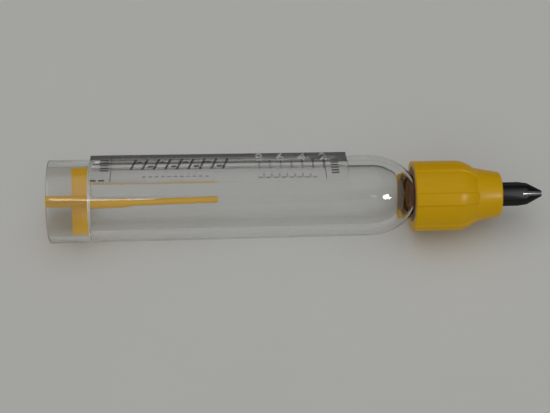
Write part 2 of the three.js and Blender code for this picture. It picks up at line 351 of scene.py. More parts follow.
# ---------------------------------------------------------------- material groups
def build_moulded_surface():
    """Fine moulding grain, soft flow streaks along the part and handling scratches."""
    tree = new_group(
        "moulded_surface",
        "ShaderNodeTree",
        [
            ("Grain Scale", "NodeSocketFloat", 2600.0),
            ("Scratch Amount", "NodeSocketFloat", 0.5),
            ("Base Roughness", "NodeSocketFloat", 0.35),
            ("Roughness Spread", "NodeSocketFloat", 0.15),
        ],
        [
            ("Roughness", "NodeSocketFloat"),
            ("Height", "NodeSocketFloat"),
            ("Tone", "NodeSocketFloat"),
        ],
    )
    link = tree.links.new
    inputs = add_node(tree, "NodeGroupInput")
    outputs = add_node(tree, "NodeGroupOutput")
    coordinates = add_node(tree, "ShaderNodeTexCoord")
    grain = add_node(tree, "ShaderNodeTexNoise", values={"Detail": 3.0, "Roughness": 0.6})
    link(coordinates.outputs["Object"], grain.inputs["Vector"])
    link(inputs.outputs["Grain Scale"], grain.inputs["Scale"])

    stretched = add_node(tree, "ShaderNodeMapping", values={"Scale": (60.0, 420.0, 420.0)})
    flow = add_node(tree, "ShaderNodeTexNoise", values={"Scale": 1.0, "Detail": 4.0, "Distortion": 0.6})
    link(coordinates.outputs["Object"], stretched.inputs["Vector"])
    link(stretched.outputs["Vector"], flow.inputs["Vector"])

    slanted = add_node(
        tree,
        "ShaderNodeMapping",
        values={"Rotation": (0.4, 0.3, 0.9), "Scale": (140.0, 5200.0, 2400.0)},
    )
    lines = add_node(tree, "ShaderNodeTexNoise", values={"Scale": 1.0, "Detail": 2.0, "Distortion": 0.3})
    scratch = add_node(tree, "ShaderNodeMapRange", values={"From Min": 0.67, "From Max": 0.78})
    link(coordinates.outputs["Object"], slanted.inputs["Vector"])
    link(slanted.outputs["Vector"], lines.inputs["Vector"])
    link(lines.outputs["Fac"], scratch.inputs["Value"])
    scratched = add_node(tree, "ShaderNodeMath", {"operation": "MULTIPLY"})
    link(scratch.outputs["Result"], scratched.inputs[0])
    link(inputs.outputs["Scratch Amount"], scratched.inputs[1])

    centred = add_node(tree, "ShaderNodeMath", {"operation": "SUBTRACT"}, {1: 0.5})
    spread = add_node(tree, "ShaderNodeMath", {"operation": "MULTIPLY"})
    rough = add_node(tree, "ShaderNodeMath", {"operation": "ADD"})
    worn = add_node(tree, "ShaderNodeMath", {"operation": "MULTIPLY_ADD", "use_clamp": True}, {1: 0.25})
    link(flow.outputs["Fac"], centred.inputs[0])
    link(centred.outputs[0], spread.inputs[0])
    link(inputs.outputs["Roughness Spread"], spread.inputs[1])
    link(spread.outputs[0], rough.inputs[0])
    link(inputs.outputs["Base Roughness"], rough.inputs[1])
    link(scratched.outputs[0], worn.inputs[0])
    link(rough.outputs[0], worn.inputs[2])
    link(worn.outputs[0], outputs.inputs["Roughness"])

    grain_height = add_node(tree, "ShaderNodeMath", {"operation": "MULTIPLY_ADD"}, {1: 0.12})
    cut_height = add_node(tree, "ShaderNodeMath", {"operation": "MULTIPLY_ADD"}, {1: -0.8})
    link(grain.outputs["Fac"], grain_height.inputs[0])
    link(flow.outputs["Fac"], grain_height.inputs[2])
    link(scratched.outputs[0], cut_height.inputs[0])
    link(grain_height.outputs[0], cut_height.inputs[2])
    link(cut_height.outputs[0], outputs.inputs["Height"])
    link(flow.outputs["Fac"], outputs.inputs["Tone"])
    return tree


moulded_surface = build_moulded_surface()


def new_material(name):
    material = bpy.data.materials.new(name)
    material.use_nodes = True
    tree = material.node_tree
    tree.nodes.clear()
    output = tree.nodes.new("ShaderNodeOutputMaterial")
    shader = tree.nodes.new("ShaderNodeBsdfPrincipled")
    return material, tree, shader, output


def use_surface(tree, shader, strength, distance, **values):
    """Places the moulded surface group and feeds a shader's roughness and normal from it."""
    surface = add_node(tree, "ShaderNodeGroup", {"node_tree": moulded_surface})
    for label, value in values.items():
        surface.inputs[label.replace("_", " ").title()].default_value = value
    bump = add_node(tree, "ShaderNodeBump", values={"Strength": strength, "Distance": distance})
    tree.links.new(surface.outputs["Height"], bump.inputs["Height"])
    tree.links.new(surface.outputs["Roughness"], shader.inputs["Roughness"])
    tree.links.new(bump.outputs["Normal"], shader.inputs["Normal"])
    return surface


def toned_colour(tree, shader, surface, dark, light):
    """Colours a shader between two tones by the surface group's slow variation."""
    ramp = add_node(tree, "ShaderNodeMix", {"data_type": "RGBA"})
    ramp.inputs[6].default_value = (*dark, 1)
    ramp.inputs[7].default_value = (*light, 1)
    tree.links.new(surface.outputs["Tone"], ramp.inputs[0])
    tree.links.new(ramp.outputs[2], shader.inputs["Base Color"])


def let_lamps_through(tree, shader, output, tint):
    """Lets light from the lamps pass clear plastic, so that it leaves hardly any shadow."""
    path = tree.nodes.new("ShaderNodeLightPath")
    either = add_node(tree, "ShaderNodeMath", {"operation": "MAXIMUM"})
    clear = add_node(tree, "ShaderNodeBsdfTransparent", values={"Color": (*tint, 1)})
    blend = tree.nodes.new("ShaderNodeMixShader")
    tree.links.new(path.outputs["Is Shadow Ray"], either.inputs[0])
    tree.links.new(path.outputs["Is Diffuse Ray"], either.inputs[1])
    tree.links.new(either.outputs[0], blend.inputs[0])
    tree.links.new(shader.outputs["BSDF"], blend.inputs[1])
    tree.links.new(clear.outputs["BSDF"], blend.inputs[2])
    tree.links.new(blend.outputs["Shader"], output.inputs["Surface"])


# ---------------------------------------------------------------- materials
def clear_moulding(name, roughness, transmission):
    material, tree, shader, output = new_material(name)
    surface = use_surface(
        tree,
        shader,
        0.06,
        0.0002,
        grain_scale=900.0,
        scratch_amount=0.35,
        base_roughness=roughness,
        roughness_spread=0.03,
    )
    # the grey tint darkens all that is seen through the tube: partly the plastic's own faint tint, partly
    # painted shade standing in for the shadow under the tube that the lamps no longer cast
    toned_colour(tree, shader, surface, (0.84, 0.843, 0.835), (0.90, 0.902, 0.897))
    shader.inputs["IOR"].default_value = 1.49
    shader.inputs["Transmission Weight"].default_value = transmission
    let_lamps_through(tree, shader, output, (0.985, 0.985, 0.98))
    return material


def relief_moulding(name, tint, roughness, transmission):
    """Clear plastic for the raised marks, tinted as painted shade where the tint is dark and as painted
    light where it is pale, for how the clear relief catches light.
    """
    material, tree, shader, output = new_material(name)
    surface = use_surface(
        tree,
        shader,
        0.15,
        0.0001,
        grain_scale=4200.0,
        scratch_amount=0.5,
        base_roughness=roughness,
        roughness_spread=0.1,
    )
    # a dark tint here is painted shade and a pale tint is painted light; the real relief is clear plastic
    toned_colour(tree, shader, surface, tuple(0.9 * part for part in tint), tint)
    shader.inputs["IOR"].default_value = 1.52
    shader.inputs["Transmission Weight"].default_value = transmission
    let_lamps_through(tree, shader, output, (0.9, 0.9, 0.9))
    return material


def yellow_moulding(name, dark, light, roughness):
    material, tree, shader, output = new_material(name)
    surface = use_surface(
        tree,
        shader,
        0.25,
        0.0001,
        grain_scale=3200.0,
        scratch_amount=0.4,
        base_roughness=roughness,
        roughness_spread=0.16,
    )
    toned_colour(tree, shader, surface, dark, light)
    shader.inputs["IOR"].default_value = 1.5
    shader.inputs["Specular IOR Level"].default_value = 0.12
    shader.inputs["Subsurface Weight"].default_value = 0.05
    shader.inputs["Subsurface Scale"].default_value = 0.0015
    shader.inputs["Subsurface Radius"].default_value = (1.0, 0.55, 0.1)
    tree.links.new(shader.outputs["BSDF"], output.inputs["Surface"])
    return material


def cured_resin():
    material, tree, shader, output = new_material("cured_resin")
    coordinates = tree.nodes.new("ShaderNodeTexCoord")
    cloud = add_node(tree, "ShaderNodeTexNoise", values={"Scale": 420.0, "Detail": 4.0, "Distortion": 0.8})
    cells = add_node(tree, "ShaderNodeTexVoronoi", values={"Scale": 900.0})
    shades = add_node(tree, "ShaderNodeValToRGB")
    shades.color_ramp.elements[0].position = 0.32
    shades.color_ramp.elements[0].color = (0.085, 0.028, 0.010, 1)
    shades.color_ramp.elements[1].position = 0.72
    shades.color_ramp.elements[1].color = (0.24, 0.095, 0.035, 1)
    bump = add_node(tree, "ShaderNodeBump", values={"Strength": 0.5, "Distance": 0.0003})
    for texture in (cloud, cells):
        tree.links.new(coordinates.outputs["Object"], texture.inputs["Vector"])
    tree.links.new(cloud.outputs["Fac"], shades.inputs["Fac"])
    tree.links.new(shades.outputs["Color"], shader.inputs["Base Color"])
    tree.links.new(cells.outputs["Distance"], bump.inputs["Height"])
    tree.links.new(bump.outputs["Normal"], shader.inputs["Normal"])
    tree.links.new(cloud.outputs["Fac"], shader.inputs["Roughness"])
    tree.links.new(shader.outputs["BSDF"], output.inputs["Surface"])
    return material


def black_oxide():
    material, tree, shader, output = new_material("black_oxide")
    surface = use_surface(
        tree,
        shader,
        0.35,
        0.00008,
        grain_scale=5200.0,
        scratch_amount=0.8,
        base_roughness=0.34,
        roughness_spread=0.2,
    )
    toned_colour(tree, shader, surface, (0.002, 0.002, 0.003), (0.007, 0.007, 0.009))
    shader.inputs["IOR"].default_value = 1.5
    shader.inputs["Specular IOR Level"].default_value = 0.1
    tree.links.new(shader.outputs["BSDF"], output.inputs["Surface"])
    return material


def worn_steel():
    material, tree, shader, output = new_material("worn_steel")
    surface = use_surface(
        tree,
        shader,
        0.3,
        0.00006,
        grain_scale=5200.0,
        scratch_amount=0.9,
        base_roughness=0.32,
        roughness_spread=0.3,
    )
    toned_colour(tree, shader, surface, (0.12, 0.12, 0.125), (0.34, 0.34, 0.35))
    shader.inputs["Metallic"].default_value = 0.9
    tree.links.new(shader.outputs["BSDF"], output.inputs["Surface"])
    return material


def pale_paper():
    material, tree, shader, output = new_material("pale_paper")
    coordinates = tree.nodes.new("ShaderNodeTexCoord")
    mottle = add_node(tree, "ShaderNodeTexNoise", values={"Scale": 14.0, "Detail": 3.0})
    shades = add_node(tree, "ShaderNodeMix", {"data_type": "RGBA"})
    shades.inputs[6].default_value = (0.60, 0.605, 0.585, 1)
    shades.inputs[7].default_value = (0.64, 0.645, 0.63, 1)
    tree.links.new(coordinates.outputs["Object"], mottle.inputs["Vector"])
    tree.links.new(mottle.outputs["Fac"], shades.inputs[0])
    tree.links.new(shades.outputs[2], shader.inputs["Base Color"])
    shader.inputs["Roughness"].default_value = 0.85
    tree.links.new(shader.outputs["BSDF"], output.inputs["Surface"])
    return material


clear_plastic = clear_moulding("clear_moulding", 0.02, 1.0)
matt_plastic = clear_moulding("matt_moulding", 0.2, 0.87)
# Relief tints: near black and grey are painted shade on the ticks and strokes
painted_shade_relief = relief_moulding("painted_shade_relief", (0.08, 0.08, 0.085), 0.2, 0.9)
faint_painted_shade_relief = relief_moulding("faint_painted_shade_relief", (0.45, 0.45, 0.46), 0.25, 0.9)
# frosted pale white is painted light on the figures and the counterbore step
frosted_painted_light_relief = relief_moulding("frosted_painted_light_relief", (0.80, 0.81, 0.80), 0.35, 0.6)
grip_yellow = yellow_moulding("grip_yellow", (0.62, 0.345, 0.0), (0.71, 0.41, 0.0), 0.3)
probe_yellow = yellow_moulding("probe_yellow", (0.70, 0.385, 0.0), (0.79, 0.45, 0.0), 0.24)
amber_resin = cured_resin()
bit_black = black_oxide()
flute_steel = worn_steel()

# ---------------------------------------------------------------- clear cup
LAND_FACE_COLUMNS = 48
LAND_SIDE_COLUMNS = 12
ROUND_SIDE_COLUMNS = 180


def land_tilt():
    return math.atan2(LAND_DRAFT, LAND_LENGTH)


def land_height(station):
    """How far the land's flat face lies from the axis at a station."""
    at_middle = tube_radius(land_middle) - LAND_CUT
    return at_middle - (station - land_middle) * math.tan(land_tilt())


def section_angles():
    """Angles from the land's middle, in order round the tube, with the land's corners among them."""
    corner = math.atan2(LAND_FACE_WIDTH / 2, land_height(land_middle))
    foot = math.radians(LAND_SPREAD / 2)
    stretches = [
        (-corner, corner, LAND_FACE_COLUMNS),
        (corner, foot, LAND_SIDE_COLUMNS),
        (foot, 2 * math.pi - foot, ROUND_SIDE_COLUMNS),
        (-foot, -corner, LAND_SIDE_COLUMNS),
    ]
    angles = []
    for start, end, columns in stretches:
        angles += [start + (end - start) * column / columns for column in range(columns)]
    return angles


def round_section(station, radius):
    if radius == 0:
        return [(station, 0, 0)]
    return [(station, radius * math.sin(a), radius * math.cos(a)) for a in section_angles()]


def land_section(station):
    """The tube's outline where the land is: a flat face, two sloping sides and the round."""
    radius = tube_radius(station)
    height = land_height(station)
    half = LAND_FACE_WIDTH / 2
    foot = math.radians(LAND_SPREAD / 2)
    foot_point = (radius * math.sin(foot), radius * math.cos(foot))
    points = []
    for column in range(LAND_FACE_COLUMNS):
        points.append((-half + LAND_FACE_WIDTH * column / LAND_FACE_COLUMNS, height))
    for column in range(LAND_SIDE_COLUMNS):
        share = column / LAND_SIDE_COLUMNS
        points.append((half + (foot_point[0] - half) * share, height + (foot_point[1] - height) * share))
    for column in range(ROUND_SIDE_COLUMNS):
        angle = foot + (2 * math.pi - 2 * foot) * column / ROUND_SIDE_COLUMNS
        points.append((radius * math.sin(angle), radius * math.cos(angle)))
    for column in range(LAND_SIDE_COLUMNS):
        share = 1 - column / LAND_SIDE_COLUMNS
        points.append((-half - (foot_point[0] - half) * share, height + (foot_point[1] - height) * share))
    return [(station, across, out) for across, out in points]


def cup_rings():
    """Rings from the end of the bore, out over the mouth, along the outside to the pocket."""
    bore_dome_start = bore_end - BORE_DOME_HEIGHT
    bore_radius = tube_radius(COUNTERBORE_DEPTH) - TUBE_WALL
    bore_far_radius = tube_radius(bore_dome_start) - TUBE_WALL
    counterbore = MOUTH_RADIUS - MOUTH_WALL
    bore_dome = ellipse_points(bore_dome_start, BORE_DOME_HEIGHT, bore_far_radius, math.pi / 2, 0)
    inside = [(bore_end, 0)]
    for station, radius in bore_dome[1:]:
        fade_in = smooth_step((radius - BORE_RIPPLE_INNER) / BORE_RIPPLE_FADE)
        fade_out = smooth_step((BORE_RIPPLE_OUTER - radius) / BORE_RIPPLE_FADE)
        waviness = fade_in * fade_out
        ripple = BORE_RIPPLE * waviness * math.sin(BORE_RIPPLE_PITCH * radius)
        inside.append((station - ripple, radius))
    inside += corner_points((COUNTERBORE_DEPTH + 0.3, bore_radius + 0.3), 0.3, -90, -180)
    inside += corner_points((COUNTERBORE_DEPTH - 0.4, counterbore - 0.4), 0.4, 0, 90)
    inside += corner_points((LIP_ROUNDING, counterbore + LIP_ROUNDING), LIP_ROUNDING, -90, -180)
    outside = corner_points((LIP_ROUNDING, MOUTH_RADIUS - LIP_ROUNDING), LIP_ROUNDING, 180, 90)
    rings = [round_section(*point) for point in inside + outside]
    land_end = LAND_START + LAND_LENGTH
    rings.append(round_section(LAND_START, tube_radius(LAND_START)))
    rings.append(land_section(LAND_START))
    rings.append(land_section(land_end))
    rings.append(round_section(land_end, tube_radius(land_end)))
    neck_angle = math.acos(SPIGOT_RADIUS / dome_radius)
    behind = ellipse_points(TUBE_LENGTH, DOME_HEIGHT, dome_radius, 0, neck_angle)
    behind += corner_points((spigot_end - 0.3, SPIGOT_RADIUS - 0.3), 0.3, 90, 0)
    behind += [(spigot_end, POCKET_RADIUS), (pocket_end, POCKET_RADIUS), (pocket_end, 0)]
    return rings + [round_section(*point) for point in behind]


def over_land(mesh):
    """Puts what was drawn flat, with x the station and z outwards, on the land's face."""
    middle = Matrix.Translation((land_middle, 0, 0))
    tilt = Matrix.Rotation(land_tilt(), 4, "Y")
    mesh.transform(middle @ tilt @ middle.inverted())
    return rolled(mesh, LAND_ROLL)


# ---------------------------------------------------------------- marks on the land
def build_mark_row():
    """A row of bars on the land: a mesh line of boxes, sheared into slanted strokes."""
    tree = new_group(
        "mark_row",
        "GeometryNodeTree",
        [
            ("Count", "NodeSocketInt", 7),
            ("Step", "NodeSocketVector", (3.2, 0.0, 0.0)),
            ("Size", "NodeSocketVector", (0.4, 4.5, 0.4)),
            ("Start", "NodeSocketVector", (0.0, 0.0, 0.0)),
            ("Slant", "NodeSocketFloat", 0.0),
            ("Material", "NodeSocketMaterial", None),
        ],
        [("Geometry", "NodeSocketGeometry")],
    )
    link = tree.links.new
    inputs = add_node(tree, "NodeGroupInput")
    outputs = add_node(tree, "NodeGroupOutput")
    bar = add_node(tree, "GeometryNodeMeshCube")
    link(inputs.outputs["Size"], bar.inputs["Size"])
    position = add_node(tree, "GeometryNodeInputPosition")
    split = add_node(tree, "ShaderNodeSeparateXYZ")
    sheared = add_node(tree, "ShaderNodeMath", {"operation": "MULTIPLY"})
    offset = add_node(tree, "ShaderNodeCombineXYZ")
    slanted = add_node(tree, "GeometryNodeSetPosition")
    link(position.outputs["Position"], split.inputs["Vector"])
    link(split.outputs["Y"], sheared.inputs[0])
    link(inputs.outputs["Slant"], sheared.inputs[1])
    link(sheared.outputs[0], offset.inputs["X"])
    link(bar.outputs["Mesh"], slanted.inputs["Geometry"])
    link(offset.outputs["Vector"], slanted.inputs["Offset"])
    line = add_node(tree, "GeometryNodeMeshLine")
    link(inputs.outputs["Count"], line.inputs["Count"])
    link(inputs.outputs["Start"], line.inputs["Start Location"])
    link(inputs.outputs["Step"], line.inputs["Offset"])
    copies = add_node(tree, "GeometryNodeInstanceOnPoints")
    real = add_node(tree, "GeometryNodeRealizeInstances")
    paint = add_node(tree, "GeometryNodeSetMaterial")
    link(line.outputs["Mesh"], copies.inputs["Points"])
    link(slanted.outputs["Geometry"], copies.inputs["Instance"])
    link(copies.outputs["Instances"], real.inputs["Geometry"])
    link(real.outputs["Geometry"], paint.inputs["Geometry"])
    link(inputs.outputs["Material"], paint.inputs["Material"])
    link(paint.outputs["Geometry"], outputs.inputs["Geometry"])
    return tree


mark_row = build_mark_row()
SINK = 0.3  # how deep a mark is rooted below the land's face


def row_of_bars(count, step, size, place, material, slant=0.0):
    """The mesh of one row; place is (from the land's mouth end, from the face's middle)."""
    depth = RELIEF_HEIGHT + SINK
    height = tube_radius(land_middle) - LAND_CUT + RELIEF_HEIGHT - depth / 2
    base = placed(bpy.data.meshes.new("row"), "row")
    modifier = base.modifiers.new("row", "NODES")
    modifier.node_group = mark_row
    set_input(modifier, "Count", count)
    set_input(modifier, "Step", (*step, 0.0))
    set_input(modifier, "Size", (*size, depth))
    set_input(modifier, "Start", (LAND_START + place[0], place[1], height))
    set_input(modifier, "Slant", slant)
    set_input(modifier, "Material", material)
    bpy.context.view_layer.update()
    made = plain_mesh(base)
    bpy.data.objects.remove(base)
    return made


def figure(text, size, place, turn=0.0):
    """A raised generic figure for the scale, as a closed mesh."""
    curve = bpy.data.curves.new("figure", "FONT")
    curve.body = text
    curve.size = size
    curve.align_x = "CENTER"
    curve.align_y = "CENTER"
    curve.resolution_u = 4
    curve.extrude = (RELIEF_HEIGHT + SINK) / 2
    base = placed(curve, "figure")
    bpy.context.view_layer.update()
    made = plain_mesh(base)
    bpy.data.objects.remove(base)
    height = tube_radius(land_middle) - LAND_CUT + (RELIEF_HEIGHT - SINK) / 2
    spot = Matrix.Translation((LAND_START + place[0], place[1], height))
    made.transform(spot @ Matrix.Rotation(math.radians(turn), 4, "Z"))
    edit = bmesh.new()
    edit.from_mesh(made)
    bmesh.ops.remove_doubles(edit, verts=edit.verts, dist=1e-4)
    bmesh.ops.recalc_face_normals(edit, faces=edit.faces)
    edit.to_mesh(made)
    edit.free()
    # the figure takes frosted pale plastic as painted light
    made.materials.clear()
    made.materials.append(frosted_painted_light_relief)
    return made


SCALE_FIGURES = ("8", "6", "4", "2")
TICK_START = 50.3
TICK_PITCH = 3.21


def scale_marks():
    """Ticks, figures and generic strokes in place of wording, each a closed mesh."""
    slant = 0.3
    # the dark and grey tints of these bars are painted shade
    rows = [
        row_of_bars(7, (TICK_PITCH, 0), (0.3, 4.5), (TICK_START, 1.5), painted_shade_relief),
        row_of_bars(2, (63.5, 0), (0.2, 12.6), (6.4, 0.4), painted_shade_relief),
        row_of_bars(9, (3.4, 0), (0.62, 5.2), (13.0, 2.3), painted_shade_relief, slant),
        row_of_bars(4, (6.8, 0), (1.5, 0.6), (14.7, 3.2), painted_shade_relief, slant),
        row_of_bars(4, (6.8, 0), (1.5, 0.6), (18.1, 1.2), painted_shade_relief, slant),
        row_of_bars(11, (1.85, 0), (1.1, 0.4), (16.2, -4.0), faint_painted_shade_relief),
        row_of_bars(8, (2.3, 0), (1.3, 0.5), (50.4, -5.2), faint_painted_shade_relief),
        row_of_bars(7, (2.3, 0), (0.5, 1.6), (51.5, -4.3), faint_painted_shade_relief),
        row_of_bars(5, (0, 1.3), (2.6, 0.5), (4.4, -0.6), painted_shade_relief),
        row_of_bars(2, (2.4, 0), (1.7, 0.45), (1.4, -5.6), painted_shade_relief),
        row_of_bars(6, (0, 1.35), (2.3, 0.5), (72.8, -3.2), painted_shade_relief),
    ]
    for index, text in enumerate(SCALE_FIGURES):
        rows.append(figure(text, 5.0, (TICK_START + index * 2 * TICK_PITCH, 5.1)))
    return [over_land(row) for row in rows]


def clear_cup():
    shell = skin("clear_cup", cup_rings())
    for face in shell.polygons:
        if LAND_START < face.center.x < LAND_START + LAND_LENGTH:
            face.material_index = int(abs(face.center.y) < LAND_FACE_WIDTH / 2 and face.normal.z > 0.999)
        # the counterbore step's faces take the frosted pale plastic as painted light, lifting the dark line
        # they show edge on
        if abs(face.center.x - COUNTERBORE_DEPTH) < 0.5:
            face.material_index = 2
    shell = rolled(shell, LAND_ROLL)
    shell.materials.append(clear_plastic)
    shell.materials.append(matt_plastic)
    shell.materials.append(frosted_painted_light_relief)
    shell = carved(shell, "UNION", *scale_marks())
    return finished(shell, "clear_cup", "cup", clear_plastic, ["cup_body"])


# ---------------------------------------------------------------- drain probe
def drain_probe():
    hub_outline = [(-HUB_PROUD, 0)]
    hub_outline += corner_points((-HUB_PROUD + 0.3, HUB_RADIUS - 0.3), 0.3, 180, 90)
    hub_outline += corner_points((FIN_END - 0.2, HUB_RADIUS - 0.2), 0.2, 90, 0)
    hub_outline += [(FIN_END, 0)]
    hub = turned("hub", hub_outline, 72)
    long_fins = block(
        "long_fins",
        (LONG_FIN_LENGTH, FIN_THICKNESS, FIN_REACH * 2),
        (FIN_END - LONG_FIN_LENGTH / 2, 0, 0),
    )
    short_fins = block(
        "short_fins",
        (SHORT_FIN_LENGTH, FIN_THICKNESS, FIN_REACH * 2),
        (FIN_END - SHORT_FIN_LENGTH / 2, 0, 0),
    )
    rounded(long_fins, 0.15)
    rounded(short_fins, 0.15)
    rolled(long_fins, PROBE_ROLL)
    rolled(short_fins, PROBE_ROLL + 90)
    root = FIN_END - FIN_THICKNESS
    pin_outline = [(0, 0), (0, PIN_RADIUS), (PIN_STEP - root, PIN_RADIUS)]
    pin_outline += [(PIN_STEP + PIN_TAPER - root, PIN_TIP_RADIUS)]
    pin_outline += corner_points((PIN_END - root - 0.45, PIN_TIP_RADIUS - 0.45), 0.45, 90, 0)
    pin_outline += [(PIN_END - root, 0)]
    pin = turned("pin", pin_outline, 48)
    lean = Matrix.Rotation(math.radians(-PIN_LEAN), 4, "Y")
    pin.transform(Matrix.Translation((root, 0, -PIN_OFFSET)) @ lean)
    rolled(pin, PROBE_ROLL + 90)
    made = carved(hub, "UNION", long_fins, short_fins, pin)
    return finished(made, "drain_probe", "probe", probe_yellow, ["probe_insert"])


# ---------------------------------------------------------------- ribbed grip
RIB_SOFTNESS = 0.22


def smooth_step(value):
    value = max(0.0, min(1.0, value))
    return value * value * (3 - 2 * value)


def rib_share(roll):
    """1 on top of a rib, 0 between ribs, with a short soft flank."""
    spacing = 360 / RIB_COUNT
    from_rib = (roll - RIB_ROLL + spacing / 2) % spacing - spacing / 2
    across = abs(math.radians(from_rib)) * GRIP_RADIUS
    return smooth_step((RIB_WIDTH / 2 + RIB_SOFTNESS - across) / (2 * RIB_SOFTNESS))


def grip_outline():
    """(station, radius, share of the rib's height) along the outside of the grip."""
    points = [(s, r, 1) for s, r in corner_points(
        (grip_rear + GRIP_REAR_EDGE, GRIP_RADIUS - GRIP_REAR_EDGE), GRIP_REAR_EDGE, 180, 90)]
    drop = GRIP_RADIUS - GRIP_NOSE_START_RADIUS
    steps = 30
    for step in range(steps + 1):
        share = step / steps
        station = grip_rear + GRIP_STRAIGHT + GRIP_SHOULDER * share
        points.append((station, GRIP_RADIUS - drop * share * share, 1))
    nose_start = grip_rear + GRIP_STRAIGHT + GRIP_SHOULDER
    slope = (GRIP_NOSE_START_RADIUS - GRIP_NOSE_END_RADIUS) / (grip_front - nose_start)
    for step, rib in ((0.12, 0.92), (0.24, 0.7), (0.36, 0.3), (0.48, 0.08), (0.6, 0)):
        points.append((nose_start + step, GRIP_NOSE_START_RADIUS - slope * step, rib))
    edge_centre = (grip_front - GRIP_EDGE, GRIP_NOSE_END_RADIUS - GRIP_EDGE)
    points += [(s, r, 0) for s, r in corner_points(edge_centre, GRIP_EDGE, 84, 0, 8)]
    return points


def hexagon_radius(roll, across_flats):
    """Distance from the axis to a hexagon's side at a roll."""
    from_flat = (roll - HEX_ROLL) % 60 - 30
    return across_flats / 2 / math.cos(math.radians(from_flat))


RESIN_AND_PAINTED_SHADE_REACH = 8.4  # how far the adhesive colour spreads over the grip's rear face: squeezed-out adhesive near the hole, painted shade of the shadowed rear face further out


def resin_wave(angle):
    return 0.3 * math.sin(3 * angle + 1) + 0.15 * math.sin(8 * angle)


def grip_rings():
    """Rings along the outside, through the socket and back along the hole for the cup's neck."""
    off_y, off_z = (GRIP_DROP * part for part in outwards(DROP_ROLL))
    rolls = [360 * column / GRIP_COLUMNS for column in range(GRIP_COLUMNS)]
    directions = [outwards(roll) for roll in rolls]
    ribs = [RIB_HEIGHT * rib_share(roll) for roll in rolls]
    hexes = [hexagon_radius(roll, SOCKET_ACROSS_FLATS) for roll in rolls]
    rings = []
    for station, radius, share in grip_outline():
        reach = [radius + rib * share for rib in ribs]
        rings.append([(station, r * y + off_y, r * z + off_z) for r, (y, z) in zip(reach, directions)])
    socket = [(grip_front, 0.25), (grip_front - 0.25, 0), (spigot_end + 0.3, 0)]
    for station, wider in socket:
        reach = [radius + wider for radius in hexes]
        rings.append([(station, r * y + off_y, r * z + off_z) for r, (y, z) in zip(reach, directions)])
    hole = [(spigot_end + 0.3, GRIP_HOLE_RADIUS), (grip_rear + 0.25, GRIP_HOLE_RADIUS)]
    hole += [(grip_rear, GRIP_HOLE_RADIUS + 0.25)]
    rings += [ring(station, radius, GRIP_COLUMNS) for station, radius in hole]
    # the amber colour reaches this wavy edge on the rear face, partly adhesive and partly painted shade
    resin_and_shade_edge = [RESIN_AND_PAINTED_SHADE_REACH + resin_wave(math.radians(roll)) for roll in rolls]
    return rings + [[(grip_rear, r * y, r * z) for r, (y, z) in zip(resin_and_shade_edge, directions)]]


def ribbed_grip():
    made = skin("ribbed_grip", grip_rings(), looped=True)
    made.materials.append(grip_yellow)
    made.materials.append(amber_resin)
    for face in made.polygons:
        from_axis = math.hypot(face.center.y, face.center.z)
        # faces in the hole take the adhesive colour; faces on the rear face take it too, partly as painted
        # shade
        in_hole = from_axis < GRIP_HOLE_RADIUS + 0.4 and face.center.x < spigot_end
        resin_and_shade_on_rear = from_axis < (RESIN_AND_PAINTED_SHADE_REACH + GRIP_HOLE_RADIUS) / 2 + 0.5 and face.center.x < grip_rear + 0.01
        face.material_index = int(in_hole or resin_and_shade_on_rear)
    return finished(made, "ribbed_grip", "cup", grip_yellow, ["grip"], 40)


# ---------------------------------------------------------------- adhesive
def build_bubble_scatter():
    """Small bubbles scattered over a disc, none touching another."""
    tree = new_group(
        "bubble_scatter",
        "GeometryNodeTree",
        [
            ("Disc Radius", "NodeSocketFloat", 4.0),
            ("Spacing", "NodeSocketFloat", 0.9),
            ("Bubble Radius", "NodeSocketFloat", 0.25),
            ("Seed", "NodeSocketInt", 3),
            ("Material", "NodeSocketMaterial", None),
        ],
        [("Geometry", "NodeSocketGeometry")],
    )
    link = tree.links.new
    inputs = add_node(tree, "NodeGroupInput")
    outputs = add_node(tree, "NodeGroupOutput")
    disc = add_node(tree, "GeometryNodeMeshCircle", {"fill_type": "NGON"}, {"Vertices": 32})
    scatter = add_node(tree, "GeometryNodeDistributePointsOnFaces", {"distribute_method": "POISSON"})
    scatter.inputs["Density Max"].default_value = 6.0
    bubble = add_node(tree, "GeometryNodeMeshIcoSphere", values={"Subdivisions": 2})
    sizes = add_node(tree, "FunctionNodeRandomValue", {"data_type": "FLOAT"})
    sizes.inputs[2].default_value = 0.5
    sizes.inputs[3].default_value = 1.3
    copies = add_node(tree, "GeometryNodeInstanceOnPoints")
    real = add_node(tree, "GeometryNodeRealizeInstances")
    paint = add_node(tree, "GeometryNodeSetMaterial")
    link(inputs.outputs["Disc Radius"], disc.inputs["Radius"])
    link(disc.outputs["Mesh"], scatter.inputs["Mesh"])
    link(inputs.outputs["Spacing"], scatter.inputs["Distance Min"])
    link(inputs.outputs["Seed"], scatter.inputs["Seed"])
    link(inputs.outputs["Seed"], sizes.inputs["Seed"])
    link(inputs.outputs["Bubble Radius"], bubble.inputs["Radius"])
    link(scatter.outputs["Points"], copies.inputs["Points"])
    link(bubble.outputs["Mesh"], copies.inputs["Instance"])
    link(sizes.outputs[1], copies.inputs["Scale"])
    link(copies.outputs["Instances"], real.inputs["Geometry"])
    link(real.outputs["Geometry"], paint.inputs["Geometry"])
    link(inputs.outputs["Material"], paint.inputs["Material"])
    link(paint.outputs["Geometry"], outputs.inputs["Geometry"])
    return tree


